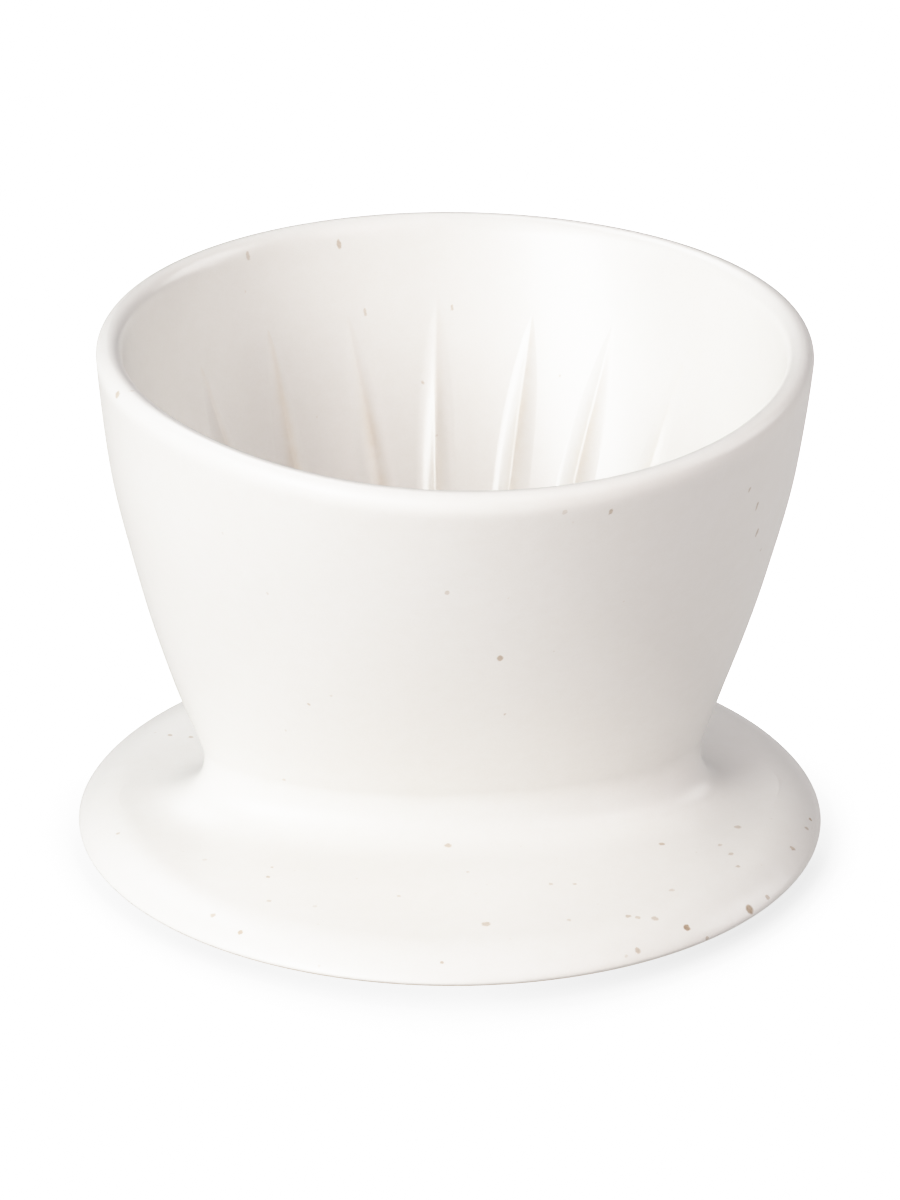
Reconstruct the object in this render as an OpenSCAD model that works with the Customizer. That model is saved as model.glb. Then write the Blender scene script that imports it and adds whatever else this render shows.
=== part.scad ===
// Pour over dripper for wedge-shaped paper filters: a nearly round bowl that narrows
// to an oval neck, standing on a wide round saucer that rests on a mug.
// Millimetres, +Z up. The origin is the centre of the saucer's underside,
// X runs along the long axis of the oval neck and -Y is the front.

/* [Bowl] */
// Outer width of the rim, left to right
rim_w = 113.2; // [106:0.1:118]
// Outer depth of the rim, front to back
rim_depth = 118; // [108:0.1:119]
// Height of the rim above the table, at the left and right
total_h = 84; // [76:0.5:92]
// How much lower the rim is at the front and back
rim_dip = 1.7; // [0:0.1:3]
// Thickness of the bowl wall, measured square to the wall
wall_t = 4.2; // [3:0.1:5]
// Lean of the left and right walls just under the rim, in degrees from vertical
side_lean_top = 4.5; // [3:0.1:12]
// Lean of the left and right walls just above the neck
side_lean_low = 22; // [18:0.5:30]
// Lean of the front and back walls just under the rim
front_lean_top = 27; // [22:0.5:30]
// Lean of the front and back walls just above the neck
front_lean_low = 34; // [30:0.5:42]

/* [Neck] */
// Width of the oval neck, left to right
neck_w = 80.2; // [72:0.2:84]
// Depth of the oval neck, front to back
neck_d = 34; // [32:0.2:42]
// Radius of the fillet between the neck and the saucer
fillet_r = 6; // [4.5:0.25:7]

/* [Ribs] */
// Ribs on the front wall, and on the back wall
rib_count = 7; // [3:2:7]
// Spacing of the ribs at the floor
rib_pitch_low = 7.3; // [6.6:0.1:7.6]
// Spacing of the ribs at their upper ends
rib_pitch_top = 13.8; // [11:0.1:14]
// Distance from the rim down to the ribs' upper ends
rib_drop = 14; // [10:0.5:24]
// Width of a rib as a share of the spacing
rib_fill = 0.84; // [0.5:0.02:0.9]
// Height of a rib from the wall to its crest
rib_h = 1.5; // [1.2:0.1:2.6]

/* [Drain floor] */
// Thickness of the floor plate
floor_t = 4; // [3:0.25:5]
// Number of drip holes in a row along the neck
hole_count = 3; // [1:1:3]
// Diameter of a drip hole
hole_d = 4; // [3:0.25:5]
// Spacing of the drip holes
hole_pitch = 8; // [6.5:0.25:8.5]

/* [Saucer] */
// Diameter of the saucer
saucer_d = 120; // [112:0.5:130]
// Thickness from the table to the flat top
saucer_t = 4.6; // [4.4:0.1:7]
// How far in from the edge the top starts to roll off
roll_w = 7; // [4:0.5:9]
// Height of the widest line of the edge above the table
edge_z = 0.75; // [0.5:0.05:1.2]
// Depth of the recess under the saucer, where the mug's rim sits
recess_z = 1.8; // [1.5:0.1:2.4]
// Width of the flat foot that touches the table
foot_w = 4.2; // [3:0.1:5]
// Diameter of the opening in the middle, under the drip holes
drip_d = 24; // [22.5:0.5:25]

/* [Locating ring] */
// Outer diameter of the ring that drops inside the mug
ring_d = 63; // [58:0.5:72]
// Width of the ring
ring_w = 4.5; // [3:0.25:6]
// Depth of the groove the ring is let into
groove_z = 0.4; // [0.2:0.1:0.6]

/* [Smoothness] */
// Facets around the bowl
around = 64; // [48:8:80]

/* [Hidden] */
$fn = 128;

glaze = [0.94, 0.93, 0.91];
clay = [0.80, 0.73, 0.64];

neck_z = saucer_t + fillet_r;
floor_z = saucer_t + floor_t;

// Wall profile: steps in the neck arc, the wall and the lip
arc_steps = 3;
wall_steps = 9;
lip_steps = 7;
lip_r = wall_t / 2;
// Lengths of the wall curve's end handles, as shares of its chord
low_handle = 0.36;
top_handle = 0.33;

// The collar's fillet stops just short of flat, so its foot keeps a thin square edge.
fillet_sweep = 80;
fillet_steps = 8;

// Ribs
rib_steps = 12;
rib_top_z = total_h - rib_drop;
rib_root = 1.2;         // depth of a rib's back beyond the inner face of the wall
rib_edge = 0.1;         // depth of its long edges beyond that face
rib_shoulder_w = 0.4;   // shoulder place, as a share of the half width
rib_shoulder_h = 0.3;   // shoulder height, as a share of the crest height
rib_taper_start = 0.6;  // share of the height where the taper begins
rib_taper_power = 2.2;
rib_narrowing = 0.88;   // share of the width lost at the upper end
rib_tip_sink = 0.05;    // depth of the crest beyond the face at the upper end

// Saucer
roll_power = 1.6;       // roundness of the roll-off: 2 is an ellipse, less is flatter
roll_steps = 14;
round_steps = 5;
under_round = 1.3;      // width of the round under the edge, as a share of its height
foot_inset = 1.4;       // from the saucer's edge to where the foot's width is counted from
recess_step = 0.9;      // width of the step into the recess, as a share of its height

// Locating ring and its groove
ring_r = ring_d / 2;
ring_inner_r = ring_r - ring_w;
groove_top = recess_z + groove_z;
groove_draft = 0.05;
ring_bottom = 0.05;
ring_chamfer = 0.45;

// ---- Wall profile in the plane of one half-axis, as [distance from the axis, height] ----

// A point on a cubic curve through four control points, u from 0 to 1.
function cubic(ctrl, u) =
    pow(1 - u, 3) * ctrl[0] + 3 * pow(1 - u, 2) * u * ctrl[1]
    + 3 * (1 - u) * u * u * ctrl[2] + pow(u, 3) * ctrl[3];

// The direction of that curve, as a unit vector.
function cubic_dir(ctrl, u) =
    let (dir = pow(1 - u, 2) * (ctrl[1] - ctrl[0]) + 2 * (1 - u) * u * (ctrl[2] - ctrl[1])
               + u * u * (ctrl[3] - ctrl[2]))
    dir / norm(dir);

// A point on the neck arc, above the neck line for a positive angle and below for a negative.
function neck_arc(half, angle) =
    [half + fillet_r * (1 - cos(angle)), neck_z + fillet_r * sin(angle)];

// Control points of the outer wall, from the top of the neck arc to the start of the lip.
// lip is the centre of the lip; low and top are the wall's leans.
function wall_ctrl(half, low, top, lip) =
    let (start = neck_arc(half, low),
         end = [lip[0] + lip_r * cos(top), lip[1] - lip_r * sin(top)],
         chord = norm(end - start))
    [start, start + low_handle * chord * [sin(low), cos(low)],
     end - top_handle * chord * [sin(top), cos(top)], end];

// Outer wall, bottom to top: each entry is [point, unit tangent].
function outer_run(half, low, top, lip) =
    let (ctrl = wall_ctrl(half, low, top, lip))
    concat(
        [for (i = [0 : arc_steps - 1]) let (angle = low * i / arc_steps)
            [neck_arc(half, angle), [sin(angle), cos(angle)]]],
        [for (i = [0 : wall_steps])
            [cubic(ctrl, i / wall_steps), cubic_dir(ctrl, i / wall_steps)]]);

// Inner wall, bottom to top: the outer run moved in square to the wall.
function inner_run(run) =
    [for (e = run) [e[0][0] - wall_t * e[1][1], e[0][1] + wall_t * e[1][0]]];

// Rounded lip, from the outer wall over the top to the inner wall.
function lip_run(top, lip) =
    [for (i = [1 : lip_steps - 1]) let (angle = 180 * i / lip_steps - top)
        lip + lip_r * [cos(angle), sin(angle)]];

function reversed(list) = [for (i = [len(list) - 1 : -1 : 0]) list[i]];

// The closed section of the bowl wall in one half-axis plane.
function shell_section(run, top, lip) =
    concat([for (e = run) e[0]], lip_run(top, lip), reversed(inner_run(run)));

// Centres of the lip at the side and at the front.
side_lip = [rim_w / 2 - lip_r, total_h - lip_r];
front_lip = [rim_depth / 2 - lip_r, total_h - rim_dip - lip_r];

side_run = outer_run(neck_w / 2, side_lean_low, side_lean_top, side_lip);
front_run = outer_run(neck_d / 2, front_lean_low, front_lean_top, front_lip);
side_inner = inner_run(side_run);
front_inner = inner_run(front_run);

// Half-axes of the oval bore through the neck.
bore_x = side_inner[0][0];
bore_y = front_inner[0][0];

// ---- Solids built from rings of points ----

// The oval through matching points of the side section (on X) and front section (on Y).
function oval_ring(side, front) =
    [for (i = [0 : around - 1]) let (angle = 360 * i / around)
        [side[0] * cos(angle), front[0] * sin(angle),
         side[1] * pow(cos(angle), 2) + front[1] * pow(sin(angle), 2)]];

function oval_rings(sides, fronts) =
    [for (j = [0 : len(sides) - 1]) oval_ring(sides[j], fronts[j])];

// Triangles that join ring j to ring k, with count points in each ring.
function band(j, k, count) =
    [for (i = [0 : count - 1]) let (n = (i + 1) % count)
        each [[j * count + i, k * count + i, k * count + n],
              [j * count + i, k * count + n, j * count + n]]];

// Closed ring-shaped solid whose section runs once around through all rings.
module loop_loft(rings) {
    last = len(rings) - 1;
    count = len(rings[0]);
    polyhedron(
        points = [for (ring = rings) each ring],
        faces = [for (j = [0 : last]) each band(j, (j + 1) % (last + 1), count)],
        convexity = 6);
}

// Closed solid capped at its first and last ring.
module capped_loft(rings) {
    last = len(rings) - 1;
    count = len(rings[0]);
    polyhedron(
        points = [for (ring = rings) each ring],
        faces = concat(
            [[for (i = [0 : count - 1]) i]],
            [for (j = [0 : last - 1]) each band(j, j + 1, count)],
            [[for (i = [count - 1 : -1 : 0]) last * count + i]]),
        convexity = 4);
}

// ---- Bowl, collar and floor ----

module bowl_wall() {
    color(glaze)
    loop_loft(oval_rings(shell_section(side_run, side_lean_top, side_lip),
                         shell_section(front_run, front_lean_top, front_lip)));
}

// From the foot up the fillet to the neck, then down the bore.
function collar_section(half, bore) =
    concat(
        [[neck_arc(half, -fillet_sweep)[0], saucer_t]],
        [for (i = [fillet_steps : -1 : 0]) neck_arc(half, -fillet_sweep * i / fillet_steps)],
        [[bore, neck_z], [bore, saucer_t]]);

module neck_collar() {
    color(glaze)
    loop_loft(oval_rings(collar_section(neck_w / 2, bore_x),
                         collar_section(neck_d / 2, bore_y)));
}

module drain_floor() {
    overcut = 1;
    color(glaze)
    difference() {
        translate([0, 0, saucer_t])
            linear_extrude(height = floor_t)
                polygon([for (i = [0 : around - 1]) let (angle = 360 * i / around)
                    [bore_x * cos(angle), bore_y * sin(angle)]]);
        for (k = [0 : hole_count - 1])
            translate([(k - (hole_count - 1) / 2) * hole_pitch, 0, saucer_t - overcut])
                cylinder(d = hole_d, h = floor_t + 2 * overcut);
    }
}

// ---- Ribs ----

// Half-axis of the inner wall at height z, by linear interpolation of its run.
function half_at(run, z) =
    z <= run[0][1] ? run[0][0] :
    let (i = max([for (k = [0 : len(run) - 2]) if (run[k][1] <= z) k]))
    run[i][0] + (run[i + 1][0] - run[i][0]) * (z - run[i][1]) / (run[i + 1][1] - run[i][1]);

// Section of rib k at height z on the back wall, counter-clockwise from above.
function rib_section(k, z) =
    let (rise = (z - floor_z) / (rib_top_z - floor_z),
         half_x = half_at(side_inner, z),
         half_y = half_at(front_inner, z),
         pitch = rib_pitch_low + (rib_pitch_top - rib_pitch_low) * rise,
         x = k * pitch,
         y = half_y * sqrt(1 - pow(x / half_x, 2)),
         gradient = [x / (half_x * half_x), y / (half_y * half_y)],
         outward = gradient / norm(gradient),
         along = [outward[1], -outward[0]],
         // 0 up to the start of the taper, then growing to 1 at the upper end
         taper = pow(max(0, (rise - rib_taper_start) / (1 - rib_taper_start)),
                     rib_taper_power),
         w = rib_fill * pitch / 2 * (1 - rib_narrowing * taper),
         h = rib_h * (1 - taper) - rib_tip_sink * taper,
         // [along the wall, outward from its inner face]
         outline = [[-w, rib_root], [-w, rib_edge],
                    [-rib_shoulder_w * w, -rib_shoulder_h * h], [0, -h],
                    [rib_shoulder_w * w, -rib_shoulder_h * h],
                    [w, rib_edge], [w, rib_root]])
    [for (o = outline)
        let (p = [x, y] + o[0] * along + o[1] * outward) [p[0], p[1], z]];

module rib(k) {
    capped_loft([for (i = [0 : rib_steps])
        rib_section(k, floor_z + (rib_top_z - floor_z) * i / rib_steps)]);
}

// The hollow of the bowl from the floor plate up to the lip.
module cavity() {
    capped_loft(oval_rings(concat([[bore_x, floor_z]], side_inner),
                           concat([[bore_y, floor_z]], front_inner)));
}

// The ribs of the back wall, trimmed to the hollow of the bowl.
module rib_group() {
    intersection() {
        union()
            for (k = [-(rib_count - 1) / 2 : (rib_count - 1) / 2])
                rib(k);
        cavity();
    }
}

module ribs_back() {
    color(glaze)
    rib_group();
}

module ribs_front() {
    color(glaze)
    mirror([0, 1, 0])
        rib_group();
}

// ---- Saucer and ring, both turned about the Z axis ----

module base_saucer() {
    edge_r = saucer_d / 2;
    roll_h = saucer_t - edge_z;
    foot_inner_r = edge_r - foot_inset - foot_w;
    color(glaze)
    rotate_extrude($fn = 180)
        polygon(concat(
            // flat top, then the roll-off down to the widest line
            [[drip_d / 2, saucer_t]],
            [for (i = [0 : roll_steps]) let (u = sin(90 - 90 * i / roll_steps))
                [edge_r - roll_w + roll_w * pow(1 - pow(u, roll_power), 1 / roll_power),
                 edge_z + roll_h * u]],
            // small round under the edge, down to the foot
            [for (i = [1 : round_steps]) let (angle = 90 * i / round_steps)
                [edge_r - edge_z * under_round * (1 - cos(angle)),
                 edge_z - edge_z * sin(angle)]],
            // flat foot, then the soft step up into the recess
            [[foot_inner_r, 0]],
            [for (i = [1 : round_steps]) let (angle = 90 * i / round_steps)
                [foot_inner_r - recess_z * sin(angle) * recess_step,
                 recess_z * (1 - cos(angle))]],
            // drafted groove for the locating ring
            [[ring_r, recess_z],
             [ring_r - groove_draft, groove_top],
             [ring_inner_r + groove_draft, groove_top],
             [ring_inner_r, recess_z],
             [drip_d / 2, recess_z]]));
}

module locating_ring() {
    chamfer_top = ring_bottom + ring_chamfer;
    color(clay)
    rotate_extrude($fn = 180)
        polygon([[ring_inner_r + groove_draft, groove_top],
                 [ring_inner_r, recess_z],
                 [ring_inner_r, chamfer_top],
                 [ring_inner_r + ring_chamfer, ring_bottom],
                 [ring_r - ring_chamfer, ring_bottom],
                 [ring_r, chamfer_top],
                 [ring_r, recess_z],
                 [ring_r - groove_draft, groove_top]]);
}

bowl_wall();
neck_collar();
ribs_back();
ribs_front();
drain_floor();
base_saucer();
locating_ring();
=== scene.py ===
"""A ribbed stoneware bowl on a round saucer, in speckled warm white glaze.

The bowl leans out from an oval neck, longer along X. Inside, seven low ribs climb the back wall
and seven the front, and three holes drain the floor. The saucer stands on z = 0; the front is -Y
and +X is to the right. Sizes are in mm up to the meshes, which are in metres.
"""
import math

import bmesh
import bpy
import numpy as np
from mathutils import Matrix, Vector


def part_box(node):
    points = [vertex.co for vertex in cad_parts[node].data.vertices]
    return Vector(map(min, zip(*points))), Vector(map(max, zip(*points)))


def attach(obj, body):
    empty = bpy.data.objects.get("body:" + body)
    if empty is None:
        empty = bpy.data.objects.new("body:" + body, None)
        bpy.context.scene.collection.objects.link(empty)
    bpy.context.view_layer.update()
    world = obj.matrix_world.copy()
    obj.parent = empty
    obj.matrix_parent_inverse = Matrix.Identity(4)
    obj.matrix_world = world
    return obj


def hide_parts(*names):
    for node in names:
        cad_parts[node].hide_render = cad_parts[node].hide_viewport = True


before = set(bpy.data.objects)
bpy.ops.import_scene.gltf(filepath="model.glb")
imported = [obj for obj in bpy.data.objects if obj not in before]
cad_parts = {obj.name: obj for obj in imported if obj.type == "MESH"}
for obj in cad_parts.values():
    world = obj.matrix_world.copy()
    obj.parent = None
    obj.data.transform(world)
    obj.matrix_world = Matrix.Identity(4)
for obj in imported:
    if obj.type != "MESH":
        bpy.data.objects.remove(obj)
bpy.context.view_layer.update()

# ---------------------------------------------------------------- driving sizes, from the frame
# Names ending in _X are half-widths or radii at the sides, _Y at the front and back.


def corners_mm(node):
    return [np.array(corner) * 1000.0 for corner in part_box(node)]


wall_low, wall_high = corners_mm("bowl_wall")
collar_low, collar_high = corners_mm("neck_collar")
_, floor_high = corners_mm("drain_floor")
_, saucer_high = corners_mm("base_saucer")
_, ring_high = corners_mm("locating_ring")

RIM_X, RIM_Y, HEIGHT = wall_high
RIM_DIP = 1.7  # the rim is this much lower at the front and back
SAUCER_TOP = collar_low[2]
FILLET = wall_low[2] - SAUCER_TOP
# the frame's collar flares through 80 degrees of its fillet
FLARE_OUT = FILLET * (1 - math.cos(math.radians(80)))
NECK_X, NECK_Y = collar_high[0] - FLARE_OUT, collar_high[1] - FLARE_OUT
BORE_X, BORE_Y, FLOOR_Z = floor_high
WALL = NECK_X - BORE_X
LIP_R = WALL / 2
SAUCER_R = round(saucer_high[1] * 2) / 2
RING_R = round(ring_high[0] * 2) / 2
GROOVE = 0.4  # the ring is let this far into the saucer
RECESS_Z = ring_high[2] - GROOVE

# lean of the walls, in degrees from vertical, just above the neck and under the rim
SIDE_LOW, SIDE_TOP = 22.0, 4.5
FRONT_LOW, FRONT_TOP = 34.0, 27.0

# the fillet at the foot is wider at the sides than at the front and back
FILLET_X, FILLET_Y = FILLET + 0.75, FILLET - 0.7

AROUND = 384  # points round every oval ring


def smooth(start, end, value):
    t = np.clip((np.asarray(value, float) - start) / (end - start), 0, 1)
    return t * t * (3 - 2 * t)


def unit(vectors):
    return vectors / np.maximum(np.linalg.norm(vectors, axis=-1, keepdims=True), 1e-12)


def uneven(points):
    """Moves points by the small unevenness of a hand-finished body, mostly growing with height."""
    points = np.array(points, float)
    x, y, z = points[..., 0], points[..., 1], points[..., 2]
    angle = np.arctan2(y, x)
    radius = np.hypot(x, y)
    right, left = np.maximum(np.cos(angle), 0), np.maximum(-np.cos(angle), 0)

    # slow waves round the body, flattened at the right, and faint throwing rings up it
    push = smooth(6, 80, z) * (
        0.07 * np.sin(2 * angle + 0.7) + 0.08 * np.sin(3 * angle + 2.1)
        + 0.04 * np.sin(5 * angle + 0.4) - 0.24 * right**3)
    push = push + (0.05 * np.sin(z / 7.3 + 1.3 * np.sin(angle + 0.5))
                   * smooth(10, 24, z) * (1 - smooth(66, 80, z)))
    # the saucer's outline: in at the back left and the right, out at the front right
    back_left = np.exp(-((np.abs(angle) - 2.5) / 0.35) ** 2) * (angle > 0)
    bulge = np.exp(-((angle + 0.85) / 0.35) ** 2)
    push = push + smooth(48, 60, radius) * (1 - smooth(5, 8, z)) * (
        0.03 * np.sin(3 * angle + 0.3) - 0.22 * back_left - 0.10 * right + 0.10 * bulge)
    # the rim stands high and tucked in at the front left, and a little low at the front right
    front_left = np.exp(-((np.mod(angle + 2.45 + np.pi, 2 * np.pi) - np.pi) / 0.55) ** 2)
    front_right = np.exp(-((angle + 0.75) / 0.55) ** 2)
    push = push - 0.35 * front_left * smooth(40, 80, z)
    grow = 1 + np.where(radius > 1e-6, push / np.maximum(radius, 1e-6), 0)

    # the lower wall is slimmer in X, and the whole body drifts to the right
    slim = (0.34 * smooth(64, 46, z) + 0.08 * smooth(40, 24, z)) * smooth(10, 18, z)
    drift = (0.0057 * z * smooth(5, 20, z)
             + 0.38 * smooth(4.7, 8.5, z) * (1 - smooth(12, 26, z)))
    lift = smooth(30, 80, z) * (
        0.05 * np.sin(3 * angle + 1.9) - 0.14 * right - 0.16 * np.cos(angle) ** 2
        - 0.22 * left**2 + 0.85 * front_left - 0.22 * front_right)
    return np.stack([x * grow * (1 - slim / 44) + drift, y * grow, z + lift], -1)


# ---------------------------------------------------------------- wall profiles: (radius, height)

LIP_STEPS = 26


def outer_run(half, fillet, low, top, lip, arc_steps=10, wall_steps=64):
    """Outer wall from the neck up to the start of the lip: points and unit tangents."""
    low, top = math.radians(low), math.radians(top)
    waist = SAUCER_TOP + fillet
    start = np.array([half + fillet * (1 - math.cos(low)), waist + fillet * math.sin(low)])
    end = np.array([lip[0] + LIP_R * math.cos(top), lip[1] - LIP_R * math.sin(top)])
    span = np.linalg.norm(end - start)
    pull_low = start + 0.36 * span * np.array([math.sin(low), math.cos(low)])
    pull_top = end - 0.33 * span * np.array([math.sin(top), math.cos(top)])
    turn = low * np.arange(arc_steps) / arc_steps
    arc = np.stack([half + fillet * (1 - np.cos(turn)), waist + fillet * np.sin(turn)], 1)
    arc_dir = np.stack([np.sin(turn), np.cos(turn)], 1)
    t = np.linspace(0, 1, wall_steps + 1)[:, None]
    curve = ((1 - t) ** 3 * start + 3 * (1 - t) ** 2 * t * pull_low
             + 3 * (1 - t) * t * t * pull_top + t**3 * end)
    curve_dir = unit((1 - t) ** 2 * (pull_low - start) + 2 * (1 - t) * t * (pull_top - pull_low)
                     + t * t * (end - pull_top))
    return np.vstack([arc, curve]), np.vstack([arc_dir, curve_dir])


def wall_profile(half, fillet, low, top, lip):
    """Profile up the outside, over the lip and down the inside; also the inside alone, upward."""
    outer, tangent = outer_run(half, fillet, low, top, lip)
    inner = outer + WALL * np.stack([-tangent[:, 1], tangent[:, 0]], 1)
    turn = math.pi * np.arange(1, LIP_STEPS) / LIP_STEPS - math.radians(top)
    over = np.stack([lip[0] + LIP_R * np.cos(turn), lip[1] + LIP_R * np.sin(turn)], 1)
    return np.vstack([outer, over, inner[::-1]]), inner


wall_x, inner_x = wall_profile(NECK_X, FILLET_X, SIDE_LOW, SIDE_TOP,
                               (RIM_X - LIP_R, HEIGHT - LIP_R))
wall_y, inner_y = wall_profile(NECK_Y, FILLET_Y, FRONT_LOW, FRONT_TOP,
                               (RIM_Y - LIP_R, HEIGHT - RIM_DIP - LIP_R))


def rings(profile_x, profile_y):
    """Oval rings through a side profile and a front profile: (ring, around, xyz)."""
    angle = 2 * math.pi * np.arange(AROUND) / AROUND
    cos, sin = np.cos(angle), np.sin(angle)
    return np.stack([profile_x[:, 0, None] * cos, profile_y[:, 0, None] * sin,
                     profile_x[:, 1, None] * cos**2 + profile_y[:, 1, None] * sin**2], 2)


# ---------------------------------------------------------------- mesh helpers


def loop_faces(rows, count, closed=True):
    """Quads between rows of count points; closed also joins the last row to the first."""
    faces = []
    for row in range(rows if closed else rows - 1):
        here = row * count + np.arange(count)
        there = (row + 1) % rows * count + np.arange(count)
        faces.append(np.stack([here, np.roll(here, -1), np.roll(there, -1), there], 1))
    return np.vstack(faces)


def set_attributes(mesh, values):
    for key, value in values.items():
        attribute = mesh.attributes.new(key, "FLOAT", "POINT")
        attribute.data.foreach_set("value", np.asarray(value, np.float32))


def add_object(name, mesh):
    obj = bpy.data.objects.new(name, mesh)
    bpy.context.scene.collection.objects.link(obj)
    return obj


def make(name, verts, faces, normals=None, attributes=None):
    mesh = bpy.data.meshes.new(name)
    mesh.from_pydata((np.asarray(verts) / 1000.0).tolist(), [],
                     [list(map(int, face)) for face in faces])
    mesh.validate()
    mesh.polygons.foreach_set("use_smooth", [True] * len(mesh.polygons))
    set_attributes(mesh, attributes or {})
    if normals is not None:
        mesh.normals_split_custom_set_from_vertices(normals.tolist())
    mesh.update()
    return add_object(name, mesh)


def outward(obj):
    """Turns a closed mesh's faces so that they point out."""
    bm = bmesh.new()
    bm.from_mesh(obj.data)
    bmesh.ops.recalc_face_normals(bm, faces=bm.faces)
    bm.to_mesh(obj.data)
    bm.free()
    obj.data.update()


def arc(centre_r, centre_z, radius_r, radius_z, start, end, count):
    """Points along an arc of a turned profile, between two angles in degrees."""
    return [(centre_r + radius_r * math.cos(turn), centre_z + radius_z * math.sin(turn))
            for turn in np.radians(np.linspace(start, end, count))]


def lathe(name, profile, count):
    """Closed solid turned about Z from a closed profile."""
    profile = np.asarray(profile, float)
    angle = 2 * math.pi * np.arange(count) / count
    grid = np.stack([profile[:, 0, None] * np.cos(angle), profile[:, 0, None] * np.sin(angle),
                     profile[:, 1, None] * np.ones(count)], 2)
    verts = grid.reshape(-1, 3)
    if name == "base_saucer_glazed":
        verts = uneven(verts)
    obj = make(name, verts, loop_faces(len(profile), count))
    outward(obj)
    return obj


# ---------------------------------------------------------------- bowl wall and neck collar

FLARE_STEPS = 37
# the flare's foot dips just under the saucer's top: (outward, up) from its end
FOOT_DIP = np.array([[1.2, -0.03], [0.5, -0.006]])
BORE_RINGS = 6
COLLAR_SINK = 0.35  # how far the collar reaches down into the saucer


def sheet_profile(neck, bore, fillet, spread, power, wall):
    """Profile from the flare's foot over the lip to the bottom of the bore.

    The foot is drawn out by spread, so that it runs softly into the saucer.
    """
    turn = np.radians(np.linspace(0, 90, FLARE_STEPS))
    out = neck + fillet * (1 - np.cos(turn)) + spread * (1 - np.cos(turn)) ** power
    flare = np.stack([out, SAUCER_TOP + fillet * (1 - np.sin(turn))], 1)[::-1]
    bore_z = np.linspace(SAUCER_TOP + fillet, SAUCER_TOP, BORE_RINGS + 1)[1:]
    return np.vstack([flare[0] + FOOT_DIP, flare[:-1], wall,
                      np.stack([np.full(BORE_RINGS, bore), bore_z], 1)])


def sheet_normals(sheet, profile):
    """Shading normals of the whole sheet; near the lip they ease into the walls."""
    around = np.roll(sheet, -1, axis=1) - np.roll(sheet, 1, axis=1)
    normals = unit(np.cross(around, np.gradient(sheet, axis=0)))
    run = np.r_[0, np.cumsum(np.linalg.norm(np.diff(profile, axis=0), axis=1))]
    near_lip = smooth(HEIGHT - 14, HEIGHT - 6, profile[:, 1])
    reach = 1.15
    blur = np.exp(-((run[:, None] - run[None, :]) ** 2) / (2 * reach**2)) * np.gradient(run)
    blur /= blur.sum(1, keepdims=True)
    eased = np.einsum("ij,jkc->ikc", blur, normals)
    return unit(normals + (eased - normals) * near_lip[:, None, None])


def ring_object(name, grid, normals, inside):
    """Closed loop of rings; inside has 0 or 1 for each ring."""
    return make(name, grid.reshape(-1, 3), loop_faces(len(grid), AROUND), normals.reshape(-1, 3),
                {"inside": np.repeat(inside, AROUND), "crest": np.zeros(len(grid) * AROUND)})


def wall_and_collar():
    """The two pieces are cut from one sheet, so that their shading is continuous."""
    profile_x = sheet_profile(NECK_X, BORE_X, FILLET_X, 5.4, 2.6, wall_x)
    profile_y = sheet_profile(NECK_Y, BORE_Y, FILLET_Y, 3.2, 3, wall_y)
    sheet = uneven(rings(profile_x, profile_y))
    normals = sheet_normals(sheet, profile_y)
    first = len(FOOT_DIP) + FLARE_STEPS - 1
    last = first + len(wall_x) - 1

    # the inside starts at the top of the lip
    inside = np.zeros(len(wall_x))
    inside[len(wall_x) - len(inner_x) - LIP_STEPS // 2:] = 1.0
    wall = ring_object("bowl_wall_glazed", sheet[first:last + 1], normals[first:last + 1], inside)

    low, bore = sheet[:first + 1], sheet[last:]
    under, end = low[:1].copy(), bore[-1:].copy()
    under[..., 2] = end[..., 2] = SAUCER_TOP - COLLAR_SINK
    grid = np.concatenate([under, low, bore, end])
    collar_normals = np.concatenate([normals[:1], normals[:first + 1], normals[last:],
                                     normals[-1:]])
    inside = np.r_[np.zeros(1 + len(low)), np.ones(len(bore) + 1)]
    return wall, ring_object("neck_collar_glazed", grid, collar_normals, inside)


bowl, collar = wall_and_collar()

# ---------------------------------------------------------------- ribs

# the back wall's ribs from left to right; the front wall's are the same turned half round Z:
# x of the crest at height 50 and at height 65, height of the tip, how much clay shows through
# at the crest, height over the wall
RIBS = [
    (-34.3, -38.6, 73.0, 1.00, 0.80),
    (-24.7, -27.2, 74.4, 1.45, 0.80),
    (-11.1, -13.8, 72.2, 0.90, 0.70),
    (-0.4, 0.1, 72.8, 0.60, 1.20),
    (12.65, 15.05, 71.1, 0.85, 1.30),
    (23.4, 27.55, 74.0, 0.70, 1.05),
    (34.2, 38.85, 74.6, 0.60, 0.50),
]
RIB_PITCH = 7.3  # spacing at the floor
RIB_BEND_Z = 44  # the crest lines are straight above this
RIB_SINK = 0.012  # the flanks' edges lie this far behind the wall's surface
RIB_BACK = 0.9  # depth of a rib's back in the wall
# places across a rib, in half-widths
ACROSS = np.concatenate([-np.linspace(1.12, 1.0, 3)[:-1], np.linspace(-1, 1, 41),
                         np.linspace(1.0, 1.12, 3)[1:]])


def inner_half(z):
    """Half-widths of the inner wall at height z."""
    return (np.interp(z, inner_x[:, 1], inner_x[:, 0]),
            np.interp(z, inner_y[:, 1], inner_y[:, 0]))


def inner_point(x, z):
    """Point and outward unit normal of the inner wall, on the +Y side."""
    step = 0.05
    half_x, half_y = inner_half(z)
    above_x, above_y = inner_half(z + step)
    lean_x, lean_y = (above_x - half_x) / step, (above_y - half_y) / step
    y = half_y * np.sqrt(np.maximum(1 - (x / half_x) ** 2, 1e-4))
    normal = np.stack([x / half_x**2, y / half_y**2,
                       -(x**2) * lean_x / half_x**3 - y**2 * lean_y / half_y**3], -1)
    return np.stack([x, y, z], -1), unit(normal)


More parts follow.
